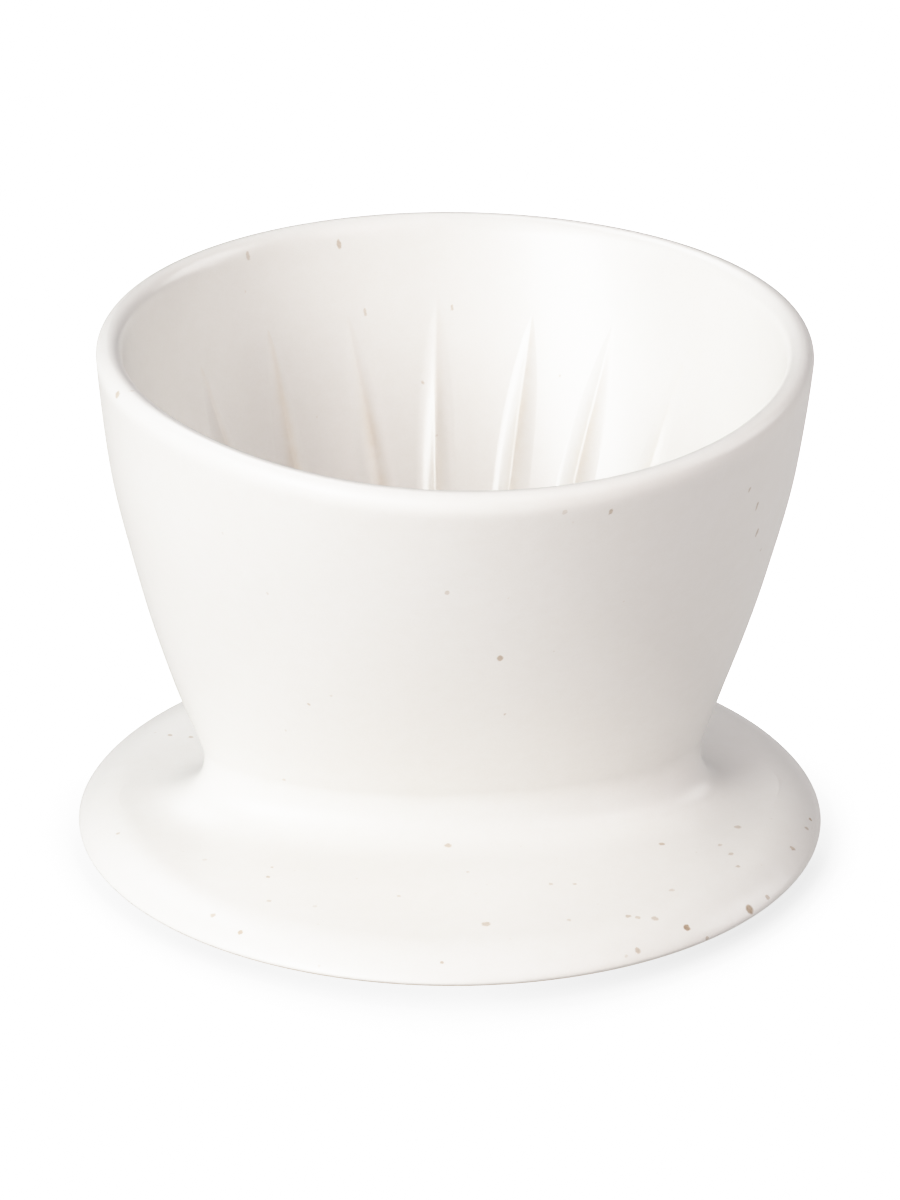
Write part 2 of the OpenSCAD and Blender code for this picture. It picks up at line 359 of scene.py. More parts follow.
def crest_line(k, x50, x65, z):
    """x along rib k's crest, easing from an even spacing at the floor to its straight run."""
    slope = (x65 - x50) / 15
    low = (k - 3) * RIB_PITCH
    bend = x50 + slope * (RIB_BEND_Z - 50)
    t = np.clip((z - FLOOR_Z) / (RIB_BEND_Z - FLOOR_Z), 0, 1)
    eased = ((2 * t**3 - 3 * t**2 + 1) * low + (t**3 - 2 * t**2 + t) * (bend - low)
             + (-2 * t**3 + 3 * t**2) * bend + (t**3 - t**2) * slope * (RIB_BEND_Z - FLOOR_Z))
    return np.where(z > RIB_BEND_Z, x50 + slope * (z - 50), eased) + 0.10 * np.sin(z / 9.0 + k * 1.7)


def rib_section():
    """Height across a rib, 0 to 1: a rounded crest, then hollow flanks that die into the wall."""
    rounding = 0.07
    out = ((np.sqrt(ACROSS**2 + rounding**2) - rounding)
           / (math.sqrt(1 + rounding**2) - rounding))
    section = np.clip(1 - out, 0, 1) ** 2.2
    section[np.abs(ACROSS) >= 1.0] = 0
    return section


def rib(k, x50, x65, tip, show, rise, widen):
    """One rib on the +Y side: loops of points, their normals and the clay shown at each."""
    along = np.concatenate([np.linspace(0, 0.6, 40)[:-1], np.linspace(0.6, 1, 60)])
    z = (FLOOR_Z - 1.0) + (tip - FLOOR_Z + 1.0) * along
    centre = crest_line(k, x50, x65, z)
    pitch = RIB_PITCH + 6.5 * np.clip((z - FLOOR_Z) / 61.4, 0, 1)
    fade = np.clip((z - 42.0) / (tip - 42.0), 0, 1) ** 1.8
    width = (0.36 * pitch * widen * (1 - fade) ** 0.8 + 0.05
             + 0.10 * np.sin(z / 6.0 + k) * (1 - fade))
    height = rise * (1 - fade) ** 1.8
    section = rib_section()

    front = np.zeros((len(z), len(ACROSS), 3))
    wall_normal, back = np.zeros_like(front), np.zeros_like(front)
    _, middle = inner_point(centre, z)
    turn = np.abs(middle[:, 1]) / np.maximum(np.hypot(middle[:, 0], middle[:, 1]), 1e-6)
    for j, across in enumerate(ACROSS):
        point, normal = inner_point(centre + across * width * turn, z)
        front[:, j] = point - normal * (height * section[j] - RIB_SINK)[:, None]
        wall_normal[:, j] = -normal
        back[:, j] = point + normal * RIB_BACK

    # the shading turns into the wall's at the edges and where the rib is low
    normals = unit(np.cross(np.gradient(front, axis=1), np.gradient(front, axis=0)))
    normals *= np.sign((normals * wall_normal).sum(2, keepdims=True))
    edge = smooth(0.80, 1.0, np.abs(ACROSS))[None, :, None]
    low = 1 - smooth(0.0, 0.06, height[:, None] * section)[..., None]
    blend = np.maximum(edge, low)
    normals = unit(normals * (1 - blend) + wall_normal * blend)

    loops = np.concatenate([front, back[:, ::-1]], axis=1)
    loop_normals = np.concatenate([normals, -wall_normal[:, ::-1]], axis=1)
    clay = np.zeros(loops.shape[:2])
    band_width = (0.62 + 0.60 * smooth(66, 46, z))[:, None]
    band = np.exp(-((ACROSS * width[:, None] - 0.25) / band_width) ** 2)
    strength = (0.35 + 0.65 * smooth(66, 48, z)) * smooth(tip + 0.3, tip - 6, z)
    clay[:, :len(ACROSS)] = band * show * (
        strength * (0.8 + 0.2 * np.sin(z / 5 + 2 * k)))[:, None]
    return loops, loop_normals, clay


def ribs(name, side, seed):
    """The seven ribs of the back wall (side 1) or the front wall (side -1)."""
    rng = np.random.default_rng(seed)
    rows = RIBS if side > 0 else [(-row[0], -row[1], *row[2:]) for row in RIBS[::-1]]
    verts, normals, clay, faces = [], [], [], []
    base = 0
    for k, (x50, x65, tip, show, rise) in enumerate(rows):
        rise = rise * rng.uniform(0.98, 1.02)
        widen = rng.uniform(0.95, 1.06)
        loops, loop_normals, shown = rib(k, x50, x65, tip, show, rise, widen)
        count, size = loops.shape[:2]
        flip = np.array([1, side, 1])
        verts.append(loops.reshape(-1, 3) * flip)
        normals.append(loop_normals.reshape(-1, 3) * flip)
        clay.append(shown.reshape(-1))
        quads = loop_faces(count, size, closed=False) + base
        start = list(range(base, base + size))
        end = [base + (count - 1) * size + i for i in range(size)]
        faces += quads[:, ::side].tolist()
        faces += [start[::-side], end[::side]]
        base += count * size
    obj = make(name, uneven(np.vstack(verts)), faces,
               attributes={"inside": np.ones(base), "crest": np.concatenate(clay)})
    outward(obj)
    obj.data.normals_split_custom_set_from_vertices(np.vstack(normals).tolist())
    return obj


ribs_back = ribs("ribs_back_glazed", 1, 853)
ribs_front = ribs("ribs_front_glazed", -1, 358)

# ---------------------------------------------------------------- drain floor with its drip holes

HOLE_R, HOLE_PITCH = 2.0, 8.0
COVE = 2.6  # radius between the bore and the floor
FLOOR_SAG = 0.25  # how far the floor falls to its middle
FLOOR_BOTTOM = SAUCER_TOP + 0.05


def floor_profile(bore):
    """From the outer bottom edge up into the wall, down the cove and in along the floor."""
    points = [(bore + 0.5, FLOOR_BOTTOM - FLOOR_Z),
              (bore + 0.5, COVE + 0.9), (bore + 0.06, COVE + 0.9)]
    points += [(bore + (0.04 + r), z) for r, z in arc(-COVE, COVE, COVE, COVE, 0, -90, 13)]
    points += [((bore - COVE) * t, -FLOOR_SAG * (1 - t)) for t in 1 - np.linspace(0, 1, 11)[1:-1]]
    return np.array(points) + (0, FLOOR_Z)


def hole_profile():
    """Cutter for one hole: it rounds the edges at both ends."""
    top_round, low_round = 1.3, 0.8
    top = FLOOR_Z - 0.22
    top_r, low_r = HOLE_R + top_round, HOLE_R + low_round
    return [
        (low_r + 0.2, FLOOR_BOTTOM - 1.0), (low_r + 0.2, FLOOR_BOTTOM - 0.02),
        *arc(low_r, FLOOR_BOTTOM + low_round, low_round, low_round, -90, -180, 9),
        *arc(top_r, top - top_round, top_round, top_round, 180, 90, 9),
        (top_r + 0.25, top + 0.02), (top_r + 0.25, top + 0.6)]


def cutter(profile, x, count=64):
    """Solid turned about a vertical axis at x."""
    bm = bmesh.new()
    turns = [2 * math.pi * i / count for i in range(count)]
    rows = [[bm.verts.new(((x + r * math.cos(turn)) / 1000, r * math.sin(turn) / 1000, z / 1000))
             for turn in turns] for r, z in profile]
    for row, above in zip(rows, rows[1:]):
        for i in range(count):
            j = (i + 1) % count
            bm.faces.new((row[i], row[j], above[j], above[i]))
    bm.faces.new(rows[0][::-1])
    bm.faces.new(rows[-1])
    bmesh.ops.recalc_face_normals(bm, faces=bm.faces)
    mesh = bpy.data.meshes.new("cutter")
    bm.to_mesh(mesh)
    bm.free()
    return add_object("cutter", mesh)


def drill(obj, x):
    tool = cutter(hole_profile(), x)
    modifier = obj.modifiers.new("hole", "BOOLEAN")
    modifier.operation = "DIFFERENCE"
    modifier.solver = "EXACT"
    modifier.object = tool
    depsgraph = bpy.context.evaluated_depsgraph_get()
    mesh = bpy.data.meshes.new_from_object(obj.evaluated_get(depsgraph))
    obj.modifiers.clear()
    old = obj.data
    obj.data = mesh
    mesh.name = "drain_floor_glazed"
    bpy.data.meshes.remove(old)
    bpy.data.objects.remove(tool)


def drain_floor():
    grid = rings(floor_profile(BORE_X), floor_profile(BORE_Y))
    faces = loop_faces(len(grid), AROUND, closed=False).tolist()
    verts = [*grid.reshape(-1, 3), (0, 0, FLOOR_Z - FLOOR_SAG), (0, 0, FLOOR_BOTTOM)]
    top, bottom = len(verts) - 2, len(verts) - 1
    last = (len(grid) - 1) * AROUND
    faces += [[last + i, last + (i + 1) % AROUND, top] for i in range(AROUND)]
    faces += [[(i + 1) % AROUND, i, bottom] for i in range(AROUND)]
    obj = make("drain_floor_glazed", uneven(verts), faces)
    outward(obj)
    for x in (-HOLE_PITCH, 0.0, HOLE_PITCH):
        drill(obj, x)
    count = len(obj.data.vertices)
    set_attributes(obj.data, {"inside": np.ones(count), "crest": np.zeros(count)})
    return obj


drain = drain_floor()

# ---------------------------------------------------------------- saucer and locating ring

ROLL_W = 8.5  # width of the rolled edge
EDGE_Z = 0.75  # height of the saucer's widest line
FOOT_W = 4.2
FOOT_IN = 1.4  # from the saucer's edge to its foot
DRIP_R = 12.0  # opening under the drain floor
DRIP_ROUND = 0.7


def base_saucer():
    foot_r = SAUCER_R - FOOT_IN - FOOT_W
    drip = DRIP_R + DRIP_ROUND
    under = EDGE_Z * 1.3
    cove = RECESS_Z * 0.9
    profile = [(r, SAUCER_TOP) for r in np.linspace(drip, SAUCER_R - ROLL_W, 30)[:-1]]
    for turn in np.linspace(90, 0, 49):
        up = math.sin(math.radians(turn))
        out = max(0.0, 1 - up**1.35) ** (1 / 2.2)
        profile.append((SAUCER_R - ROLL_W + ROLL_W * out, EDGE_Z + (SAUCER_TOP - EDGE_Z) * up))
    profile += arc(SAUCER_R - under, EDGE_Z, under, EDGE_Z, 0, -90, 13)[1:]
    profile += [(r, 0.0) for r in np.linspace(SAUCER_R - FOOT_IN, foot_r, 7)[1:]]
    profile += arc(foot_r, RECESS_Z, cove, RECESS_Z, -90, -180, 13)[1:]
    profile += [(r, RECESS_Z) for r in np.linspace(foot_r - cove, drip, 26)[1:]]
    profile += arc(drip, RECESS_Z + DRIP_ROUND, DRIP_ROUND, DRIP_ROUND, -90, -180, 7)[1:]
    profile += arc(drip, SAUCER_TOP - DRIP_ROUND, DRIP_ROUND, DRIP_ROUND, 180, 90, 7)[:-1]
    obj = lathe("base_saucer_glazed", profile, 480)

    count = len(obj.data.vertices)
    place = np.zeros(count * 3)
    obj.data.vertices.foreach_get("co", place)
    place = place.reshape(-1, 3) * 1000
    radius = np.hypot(place[:, 0], place[:, 1])
    bare = smooth(0.55, 0.25, place[:, 2]) * smooth(foot_r - 0.9, foot_r - 0.3, radius)
    set_attributes(obj.data, {"inside": np.zeros(count), "crest": np.zeros(count), "bare": bare})
    return obj


def locating_ring():
    inner = RING_R - 4.5
    cove, edge, bottom = 0.5, 0.7, 0.05
    top = RECESS_Z + 0.25
    profile = [(inner - cove, top), (inner - cove, RECESS_Z + 0.02)]
    profile += arc(inner - cove, RECESS_Z - cove, cove, cove, 90, 0, 9)
    profile += arc(inner + edge, bottom + edge, edge, edge, 180, 270, 9)[1:]
    profile += arc(RING_R - edge, bottom + edge, edge, edge, -90, 0, 9)
    profile += [(RING_R, top)]
    return lathe("locating_ring_bare", profile, 360)


saucer = base_saucer()
ring = locating_ring()

# ---------------------------------------------------------------- node helper


class Nodes:
    """Builds the node tree of a material or world. A value may be a socket or a constant."""

    def __init__(self, owner, output="ShaderNodeOutputMaterial"):
        self.owner = owner
        owner.use_nodes = True
        self.tree = owner.node_tree
        self.tree.nodes.clear()
        self.out = self.add(output)

    def add(self, kind, **settings):
        node = self.tree.nodes.new(kind)
        for key, value in settings.items():
            setattr(node, key, value)
        return node

    def feed(self, socket, value):
        if isinstance(value, (int, float, tuple)):
            socket.default_value = value
        else:
            self.tree.links.new(value, socket)

    def math(self, operation, *values, clamp=False):
        node = self.add("ShaderNodeMath", operation=operation, use_clamp=clamp)
        for socket, value in zip(node.inputs, values):
            self.feed(socket, value)
        return node.outputs[0]

    def mul(self, first, second, clamp=False):
        return self.math("MULTIPLY", first, second, clamp=clamp)

    def mul_add(self, value, gain, offset, clamp=False):
        return self.math("MULTIPLY_ADD", value, gain, offset, clamp=clamp)

    def vector(self, operation, *values):
        node = self.add("ShaderNodeVectorMath", operation=operation)
        for socket, value in zip(node.inputs, values):
            self.feed(socket, value)
        return node.outputs["Value" if operation == "LENGTH" else 0]

    def ramp(self, value, stops, interp="EASE"):
        """Stops are (position, colour), the colour an RGB tuple or one grey value."""
        node = self.add("ShaderNodeValToRGB")
        ramp = node.color_ramp
        ramp.interpolation = interp
        while len(ramp.elements) > 1:
            ramp.elements.remove(ramp.elements[-1])
        for i, (position, colour) in enumerate(stops):
            stop = ramp.elements[0] if i == 0 else ramp.elements.new(position)
            stop.position = position
            stop.color = (*(colour if isinstance(colour, tuple) else (colour,) * 3), 1)
        self.feed(node.inputs[0], value)
        return node.outputs[0]

    def noise(self, place, scale, detail=2.0, rough=0.5, output="Fac"):
        node = self.add("ShaderNodeTexNoise")
        node.inputs["Scale"].default_value = scale
        node.inputs["Detail"].default_value = detail
        node.inputs["Roughness"].default_value = rough
        self.feed(node.inputs["Vector"], place)
        return node.outputs[output]

    def mix(self, fac, under, over, blend="MIX"):
        node = self.add("ShaderNodeMix", data_type="RGBA", blend_type=blend)
        for index, value in ((0, fac), (6, under), (7, over)):
            self.feed(node.inputs[index], (*value, 1) if isinstance(value, tuple) else value)
        return node.outputs[2]

    def mix_shader(self, fac, first, second):
        node = self.add("ShaderNodeMixShader")
        for socket, value in zip(node.inputs, (fac, first.outputs[0], second)):
            self.feed(socket, value)
        return node.outputs[0]

    def attribute(self, name):
        return self.add("ShaderNodeAttribute", attribute_name=name).outputs["Fac"]

    def place_mm(self):
        source = self.add("ShaderNodeTexCoord").outputs["Object"]
        return self.vector("MULTIPLY", source, (1000.0, 1000.0, 1000.0))

    def bump(self, shader, height, strength, distance):
        node = self.add("ShaderNodeBump")
        node.inputs["Strength"].default_value = strength
        node.inputs["Distance"].default_value = distance
        self.feed(node.inputs["Height"], height)
        self.feed(shader.inputs["Normal"], node.outputs[0])


# ---------------------------------------------------------------- iron spots

# spots placed one by one: x, y, z, radius, radius along Z (mm) and strength
SPOTS_OUTSIDE = [
    (20.73, -53.67, 77.3, 0.26, 0.68, 0.55), (-3.79, -49.32, 62.28, 0.26, 0.45, 0.35),
    (5.06, -39.78, 46.84, 0.39, 0.74, 0.65), (45.58, -29.13, 66.84, 0.21, 1.05, 0.5),
    (46.1, -25.23, 60.5, 0.21, 1.06, 0.5), (-52.89, -17.82, 82.8, 0.56, 0.4, 0.5),
    (-50.75, -19.01, 83.42, 0.56, 0.4, 0.6), (-27.37, -13.28, 13.5, 0.2, 0.38, 0.3),
    (-1.64, -20.75, 4.96, 0.41, 0.37, 0.45),
]
SPOTS_INSIDE = [
    (-15.25, 51.52, 79.26, 0.28, 1.04, 0.5), (-30.41, 44.02, 80.51, 0.28, 0.78, 0.35),
    (-11.24, 47.16, 68.96, 0.21, 0.87, 0.35), (3.1, 48.43, 69.0, 0.21, 0.63, 0.4),
    (-2.02, 42.02, 58.67, 0.28, 0.44, 0.4),
]
SPOTS_SAUCER = [
    (-53.89, -11.73, 4.22, 0.27, 0.31, 0.4), (-45.83, 7.5, 4.6, 0.21, 0.24, 0.35),
    (-46.29, -3.14, 4.6, 0.21, 0.24, 0.35), (-44.56, 23.18, 4.6, 0.28, 0.32, 0.45),
    (-41.15, 22.24, 4.6, 0.28, 0.32, 0.4), (-30.63, -29.41, 4.6, 0.27, 0.31, 0.45),
    (-29.86, -25.94, 4.6, 0.2, 0.23, 0.4), (-30.82, -37.78, 4.6, 0.27, 0.31, 0.35),
    (-39.69, -40.35, 3.7, 0.33, 0.38, 0.5), (-35.66, -45.35, 3.16, 0.33, 0.38, 0.6),
    (-10.37, -37.17, 4.6, 0.27, 0.31, 0.35), (0.99, -29.4, 4.6, 0.2, 0.23, 0.35),
    (-4.85, -57.38, 3.23, 0.2, 0.23, 0.5), (2.62, -47.55, 4.6, 0.53, 0.61, 0.45),
    (13.77, -34.31, 4.6, 0.27, 0.31, 0.35), (17.54, -34.52, 4.6, 0.27, 0.31, 0.35),
    (15.64, -46.9, 4.6, 0.27, 0.3, 0.3), (24.95, -46.04, 4.6, 0.33, 0.38, 0.45),
    (26.49, -46.41, 4.57, 0.33, 0.38, 0.4), (29.16, -46.41, 4.32, 0.4, 0.46, 0.4),
    (32.48, -21.19, 4.6, 0.34, 0.39, 0.6), (34.14, -47.02, 2.92, 0.4, 0.46, 0.85),
    (44.84, -39.08, 1.73, 0.54, 0.62, 1.0), (48.1, -35.0, 1.7, 0.34, 0.39, 0.5),
    (45.16, -15.78, 4.6, 0.41, 0.47, 0.4), (43.11, -25.34, 4.6, 0.34, 0.39, 0.4),
    (43.81, -29.64, 4.6, 0.27, 0.31, 0.4), (41.67, -22.06, 4.6, 0.27, 0.31, 0.35),
    (56.56, -13.24, 2.86, 0.27, 0.31, 0.5), (57.59, -9.61, 2.65, 0.27, 0.31, 0.75),
    (53.48, -21.04, 3.24, 0.34, 0.39, 0.55), (52.28, 2.12, 4.6, 0.28, 0.32, 0.4),
    (51.51, -2.27, 4.6, 0.28, 0.32, 0.35), (25.95, -53.04, 2.2, 0.33, 0.38, 0.5),
    (32.62, -37.45, 4.6, 0.33, 0.38, 0.3),
]


def placed_spots(net, place, spots):
    """Union of small soft-edged blobs; returns 0..1."""
    size, reach, edge_gain, tone_gain = 0.70, 1.15, 2.4, 1.25
    total = None
    for x, y, z, radius, radius_z, strength in spots:
        scale = (size / radius, size / radius, size / radius_z)
        away = net.vector("MULTIPLY", net.vector("SUBTRACT", place, (x, y, z)), scale)
        blob = net.math("SUBTRACT", reach, net.vector("LENGTH", away))
        blob = net.mul(net.mul(blob, edge_gain, clamp=True), min(1.0, tone_gain * strength))
        total = blob if total is None else net.math("MAXIMUM", total, blob)
    return total


def speck_layer(net, place, cell, keep, smallest, largest, seed):
    """Scattered specks: one candidate in each lattice cell, kept where its random number is
    under keep, with its own radius. Returns 0..1, soft at the edge."""
    softness, small_bias = 0.16, 2.2
    shifted = net.vector("ADD", place, (seed * 17.3, seed * 9.1, seed * 5.7))
    cells = net.add("ShaderNodeTexVoronoi", feature="F1")
    cells.inputs["Scale"].default_value = 1.0 / cell
    cells.inputs["Randomness"].default_value = 1.0
    net.feed(cells.inputs["Vector"], shifted)
    randoms = net.add("ShaderNodeSeparateColor")
    net.feed(randoms.inputs[0], cells.outputs["Color"])
    distance = net.mul(cells.outputs["Distance"], cell)
    radius = net.mul_add(net.math("POWER", randoms.outputs[1], small_bias),
                         gain=largest - smallest, offset=smallest)
    body = net.math("DIVIDE", net.math("SUBTRACT", radius, distance), softness)
    body = net.mul(body, 1.0, clamp=True)
    kept = net.math("LESS_THAN", randoms.outputs[0], keep)
    tone = net.mul_add(randoms.outputs[2], gain=0.6, offset=0.4)
    return net.mul(net.mul(body, kept), tone)


# ---------------------------------------------------------------- glaze and clay

GLAZE = (0.870, 0.858, 0.836)
THIN_GLAZE = (0.755, 0.655, 0.535)
FINE_SPECK = (0.62, 0.50, 0.39)
GLOSS_INSIDE = 0.28  # roughness inside the bowl


def tinted(*gains):
    return tuple(channel * gain for channel, gain in zip(GLAZE, gains))


def base_tone(net, place):
    """A broad warm-cool drift, a faint mottle and a clay grain showing through."""
    broad = net.noise(place, scale=0.030)
    mottle = net.noise(place, scale=0.40, detail=3.0, rough=0.6)
    grain = net.noise(place, scale=2.6, rough=0.6)
    colour = net.ramp(broad, [(0.3, tinted(0.996, 0.991, 0.984)),
                              (0.7, tinted(1.003, 1.003, 1.004))])
    mottle = net.ramp(mottle, [(0.35, (0.982, 0.978, 0.972)), (0.65, 1.0)])
    colour = net.mix(0.5, colour, mottle, "MULTIPLY")
    grain = net.ramp(grain, [(0.30, (0.980, 0.974, 0.965)), (0.58, 1.0)])
    return net.mix(0.5, colour, grain, "MULTIPLY")


def paint_light_on_flat(net, place, colour, pale):
    """Painted light: paler glaze on the flat between the flare's foot and the rolled edge, most on
    the left and at the right edge, standing in for light falling there.
    """
    split = net.add("ShaderNodeSeparateXYZ")
    net.feed(split.inputs[0], place)
    # from the left edge (0) to the right edge (1), over 130 mm
    side = net.ramp(net.mul_add(split.outputs[0], gain=1 / 130, offset=0.5),
                    [(0.285, 1 + pale), (0.50, 1 + 0.65 * pale), (0.64, 1 + 0.2 * pale),
                     (0.78, 1.0), (0.90, 1 + pale)])
    # an oval of 52 by 27 mm bounds the flat inside, and a circle outside
    oval = net.vector("LENGTH", net.vector("MULTIPLY", place, (1 / 52, 1 / 27, 0.0)))
    beyond = net.ramp(net.mul(oval, 0.5), [(0.50, 0.0), (0.70, 1.0)])
    radius = net.vector("LENGTH", net.vector("MULTIPLY", place, (1.0, 1.0, 0.0)))
    within = net.ramp(net.mul(radius, 1 / 60), [(0.85, 1.0), (0.94, 0.3)])
    return net.mix(net.mul(beyond, within), colour, net.mix(1.0, colour, side, "MULTIPLY"))


def add_specks(net, place, warped, colour, spots, dense, stretch):
    """Small random specks and the placed spots; returns the colour and a mask of the larger."""
    run = net.vector("MULTIPLY", warped, (1.0, 1.0, 1.0 / stretch))
    fine = speck_layer(net, run, cell=2.3, keep=0.30 * dense, smallest=0.10, largest=0.26, seed=3)
    mid = speck_layer(net, run, cell=3.4, keep=0.24 * dense, smallest=0.22, largest=0.48, seed=1)
    placed = placed_spots(net, warped, spots)
    iron = net.ramp(net.noise(place, scale=2.2, rough=0.6),
                    [(0.3, (0.36, 0.245, 0.155)), (0.7, (0.50, 0.37, 0.255))])
    for mask, strength, tint in ((fine, 0.42, FINE_SPECK), (mid, 0.55, iron),
                                 (placed, 0.92, iron)):
        colour = net.mix(net.mul(mask, strength), colour, tint)
    return colour, net.math("MAXIMUM", mid, placed)


def paint_shade_edge_on(net, colour):
    """Painted shade: darkens the glaze a little where it is seen edge-on, standing in for the shade
    along the outlines.
    """
    face = net.add("ShaderNodeLayerWeight")
    face.inputs["Blend"].default_value = 0.5
    dim = net.mul_add(net.math("POWER", face.outputs["Facing"], 3.0), gain=-0.17, offset=1.0)
    grey = net.add("ShaderNodeCombineColor")
    for i in range(3):
        net.feed(grey.inputs[i], dim)
    return net.mix(1.0, colour, grey.outputs[0], "MULTIPLY")


def clay_colour(net, place):
    """Colour of the bare clay, and its grain."""
    grain = net.noise(place, scale=2.6, detail=4.0, rough=0.65)
    broad = net.noise(place, scale=0.12)
    colour = net.ramp(grain, [(0.25, (0.52, 0.42, 0.31)), (0.5, (0.66, 0.56, 0.44)),
                              (0.8, (0.74, 0.65, 0.53))])
    shade = net.ramp(broad, [(0.3, (0.88, 0.84, 0.80)), (0.7, 1.0)])
    return net.mix(0.5, colour, shade, "MULTIPLY"), grain


def wipe_foot(net, place, colour, shader, coat):
    """Bares the clay of the saucer's foot, along a ragged line."""
    bare = net.attribute("bare")
    ragged = net.mul(net.noise(place, scale=0.5, detail=3.0, rough=0.6), 0.35)
    threshold, sharpness = 0.62, 6.0
    mask = net.math("SUBTRACT", net.math("ADD", bare, ragged), threshold)
    mask = net.mul(mask, sharpness, clamp=True)
    clay, _ = clay_colour(net, place)
    colour = net.mix(mask, colour, clay)
    net.feed(shader.inputs["Coat Weight"], net.mul_add(mask, gain=-coat, offset=coat))
    return colour


def glaze_material(name, spots, dense, stretch=1.0, gloss=0.38, coat=0.25, coat_rough=0.18,
                   coat_inside=None, pale=0.0, bare_foot=False):
    """Warm white satin glaze. dense sets how many small specks show, stretch > 1 lets them run
    down, gloss is the roughness."""
    net = Nodes(bpy.data.materials.new(name))
    place = net.place_mm()
    # a small warp makes the spots' outlines uneven
    wobble = net.noise(place, scale=1.9, output="Color")
    wobble = net.vector("SUBTRACT", wobble, (0.5, 0.5, 0.5))
    warped = net.vector("ADD", place, net.vector("MULTIPLY", wobble, (0.55, 0.55, 0.55)))
    crest = net.attribute("crest")
    colour = base_tone(net, place)

    # thin glaze over the ribs' crests lets the clay warm it
    patchy = net.mul_add(net.noise(place, scale=0.28, detail=3.0, rough=0.6),
                         gain=1.5, offset=-0.05)
    broken = net.mul(crest, patchy, clamp=True)
    colour = net.mix(net.mul(broken, 0.68), colour, THIN_GLAZE)
    # painted light: the saucer's flat is made paler, most on the left
    if pale:
        colour = paint_light_on_flat(net, place, colour, pale)
    colour, specks = add_specks(net, place, warped, colour, spots, dense, stretch)
    # painted shade along the outlines
    colour = paint_shade_edge_on(net, colour)

    shader = net.add("ShaderNodeBsdfPrincipled")
    rough = net.mul_add(net.noise(place, scale=0.22, detail=3.0, rough=0.55),
                        gain=0.05, offset=gloss)
    inside = net.attribute("inside")
    rough = net.math("ADD", rough, net.mul(inside, GLOSS_INSIDE - gloss))
    rough = net.math("ADD", rough, net.mul(specks, 0.18))
    net.feed(shader.inputs["Roughness"], rough)
    shader.inputs["IOR"].default_value = 1.5
    shader.inputs["Coat Weight"].default_value = coat
    if coat_inside is not None:
        net.feed(shader.inputs["Coat Weight"],
                 net.mul_add(inside, gain=coat_inside - coat, offset=coat))
    shader.inputs["Coat Roughness"].default_value = coat_rough
    shader.inputs["Coat IOR"].default_value = 1.5

    # orange-peel of the glaze, a slow wave, and the faint sink at each speck
    peel = net.noise(place, scale=0.8)
    slow = net.noise(place, scale=0.10)
    height = net.math("ADD", net.mul(peel, 0.014), net.mul(slow, 0.22))
    height = net.math("ADD", height, net.mul(specks, -0.03))
    net.bump(shader, height, strength=0.6, distance=0.001)
    if bare_foot:
        colour = wipe_foot(net, place, colour, shader, coat)
    net.feed(shader.inputs["Base Color"], colour)
    net.feed(net.out.inputs["Surface"], shader.outputs[0])
    return net.owner


def bare_material():
    net = Nodes(bpy.data.materials.new("bare_stoneware"))
    place = net.place_mm()
    clay, grain = clay_colour(net, place)
    specks = speck_layer(net, place, cell=2.6, keep=0.35, smallest=0.10, largest=0.30, seed=5)
    clay = net.mix(net.mul(specks, 0.7), clay, (0.20, 0.13, 0.09))
    shader = net.add("ShaderNodeBsdfPrincipled")
    net.feed(shader.inputs["Base Color"], clay)
    shader.inputs["Roughness"].default_value = 0.85
    net.bump(shader, grain, strength=0.7, distance=0.00012)
    net.feed(net.out.inputs["Surface"], shader.outputs[0])
    return net.owner


glaze_bowl = glaze_material("glaze_bowl", SPOTS_OUTSIDE + SPOTS_INSIDE, dense=0.22, stretch=1.6,
                            coat_inside=0.50)
glaze_inside = glaze_material("glaze_inside", SPOTS_INSIDE, dense=0.30, stretch=1.8,
                              gloss=GLOSS_INSIDE, coat=0.50, coat_rough=0.12)
glaze_saucer = glaze_material("glaze_saucer", SPOTS_SAUCER, dense=1.35, pale=0.05,
                              bare_foot=True)
bare_stoneware = bare_material()

PARTS = [
    (bowl, "bowl_wall", glaze_bowl, "speckled_glaze"),
    (collar, "neck_collar", glaze_bowl, "speckled_glaze"),
    (ribs_back, "ribs_back", glaze_inside, "speckled_glaze"),
    (ribs_front, "ribs_front", glaze_inside, "speckled_glaze"),
    (drain, "drain_floor", glaze_inside, "speckled_glaze"),
    (saucer, "base_saucer", glaze_saucer, "speckled_glaze"),
    (ring, "locating_ring", bare_stoneware, "bare_stoneware"),
]
for obj, node, material, slot in PARTS:
    obj.data.materials.clear()
    obj.data.materials.append(material)
    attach(obj, "root")
    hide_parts(node)

# ---------------------------------------------------------------- view settings

scene = bpy.context.scene
# the view curve is nearly straight, with a soft shoulder so that pale glaze doesn't clip
SHOULDER, PEAK = 5.0, 2.6
KNOTS = [0.0, 0.1, 0.2, 0.3, 0.4, 0.5, 0.6, 0.7, 0.8, 0.9, 1.0, 1.1, 1.2, 1.35, 1.5, 1.75, 2.1,
         PEAK]


def set_view(view):
    view.view_transform = "Standard"
    view.look = "None"
    view.exposure = 0.0
    view.gamma = 1.0
    view.use_curve_mapping = True
    mapping = view.curve_mapping
    mapping.white_level = (PEAK, PEAK, PEAK)
    mapping.extend = "HORIZONTAL"
    points = mapping.curves[3].points
    while len(points) < len(KNOTS):
        points.new(0.5, 0.5)
    for point, knot in zip(points, KNOTS):
        level = knot / (1 + knot**SHOULDER) ** (1 / SHOULDER) if knot < PEAK else 1.0
        point.location = (knot / PEAK, min(1.0, level))
        point.handle_type = "AUTO"
    mapping.update()


set_view(scene.view_settings)

# ---------------------------------------------------------------- floor and world

FLOOR_GLOW = (0.764, 0.734, 0.722)  # light the floor sends to the subject
SKY_GLOW = (0.140, 0.135, 0.138)

